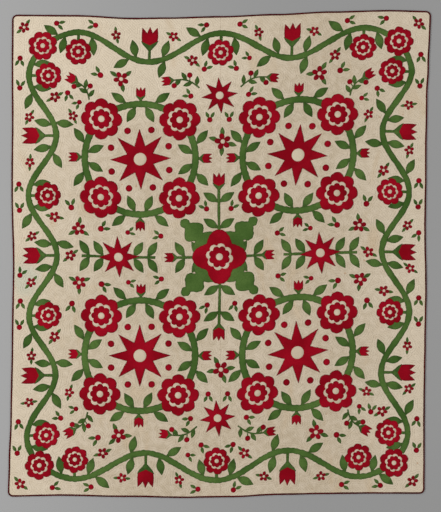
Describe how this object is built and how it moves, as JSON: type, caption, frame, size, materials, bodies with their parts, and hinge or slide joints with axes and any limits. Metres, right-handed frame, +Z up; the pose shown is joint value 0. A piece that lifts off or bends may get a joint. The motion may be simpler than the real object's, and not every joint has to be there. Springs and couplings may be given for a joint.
{
  "type": "bed quilt",
  "caption": "Bed quilt laid flat: quilted cream body with red and green applied wreaths, roses, stars and a leafy vine border, edged with a narrow folded binding",
  "frame": {"origin": "on the surface the quilt lies on, under the middle of its outline", "axes": "+X to the right across the quilt, +Y along its length to its head end, +Z up out of its face"},
  "size_m": [2.1666, 2.4972, 0.007],
  "materials": {
    "ground_cotton": "unbleached plain-weave cotton, hand quilted",
    "red_cotton": "deep red plain-weave cotton",
    "green_cotton": "over-dyed green plain-weave cotton",
    "binding_cotton": "dark red plain-weave cotton, folded and sewn down"
  },
  "bodies": {
    "root": {"quilted_body": "ground_cotton", "binding_bottom": "binding_cotton", "binding_right": "binding_cotton", "binding_top": "binding_cotton", "binding_left": "binding_cotton", "vine_bottom": "green_cotton", "rose_bottom_1": "red_cotton", "rose_bottom_2": "red_cotton", "rose_bottom_3": "red_cotton", "vine_right": "green_cotton", "rose_right_1": "red_cotton", "rose_right_2": "red_cotton", "rose_right_3": "red_cotton", "rose_right_4": "red_cotton", "vine_top": "green_cotton", "rose_top_1": "red_cotton", "rose_top_2": "red_cotton", "rose_top_3": "red_cotton", "vine_left": "green_cotton", "rose_left_1": "red_cotton", "rose_left_2": "red_cotton", "rose_left_3": "red_cotton", "rose_left_4": "red_cotton", "rose_corner_1": "red_cotton", "rose_corner_2": "red_cotton", "rose_corner_3": "red_cotton", "rose_corner_4": "red_cotton", "wreath_lower_left": "green_cotton", "star_lower_left": "red_cotton", "rose_lower_left_1": "red_cotton", "rose_lower_left_2": "red_cotton", "rose_lower_left_3": "red_cotton", "rose_lower_left_4": "red_cotton", "wreath_lower_right": "green_cotton", "star_lower_right": "red_cotton", "rose_lower_right_1": "red_cotton", "rose_lower_right_2": "red_cotton", "rose_lower_right_3": "red_cotton", "rose_lower_right_4": "red_cotton", "wreath_upper_right": "green_cotton", "star_upper_right": "red_cotton", "rose_upper_right_1": "red_cotton", "rose_upper_right_2": "red_cotton", "rose_upper_right_3": "red_cotton", "rose_upper_right_4": "red_cotton", "wreath_upper_left": "green_cotton", "star_upper_left": "red_cotton", "rose_upper_left_1": "red_cotton", "rose_upper_left_2": "red_cotton", "rose_upper_left_3": "red_cotton", "rose_upper_left_4": "red_cotton", "oak_leaves_middle": "green_cotton", "reel_middle": "red_cotton", "sprig_side_left": "green_cotton", "star_side_left": "red_cotton", "sprig_side_right": "green_cotton", "star_side_right": "red_cotton", "star_end_bottom": "red_cotton", "star_end_top": "red_cotton"}
  },
  "joints": []
}
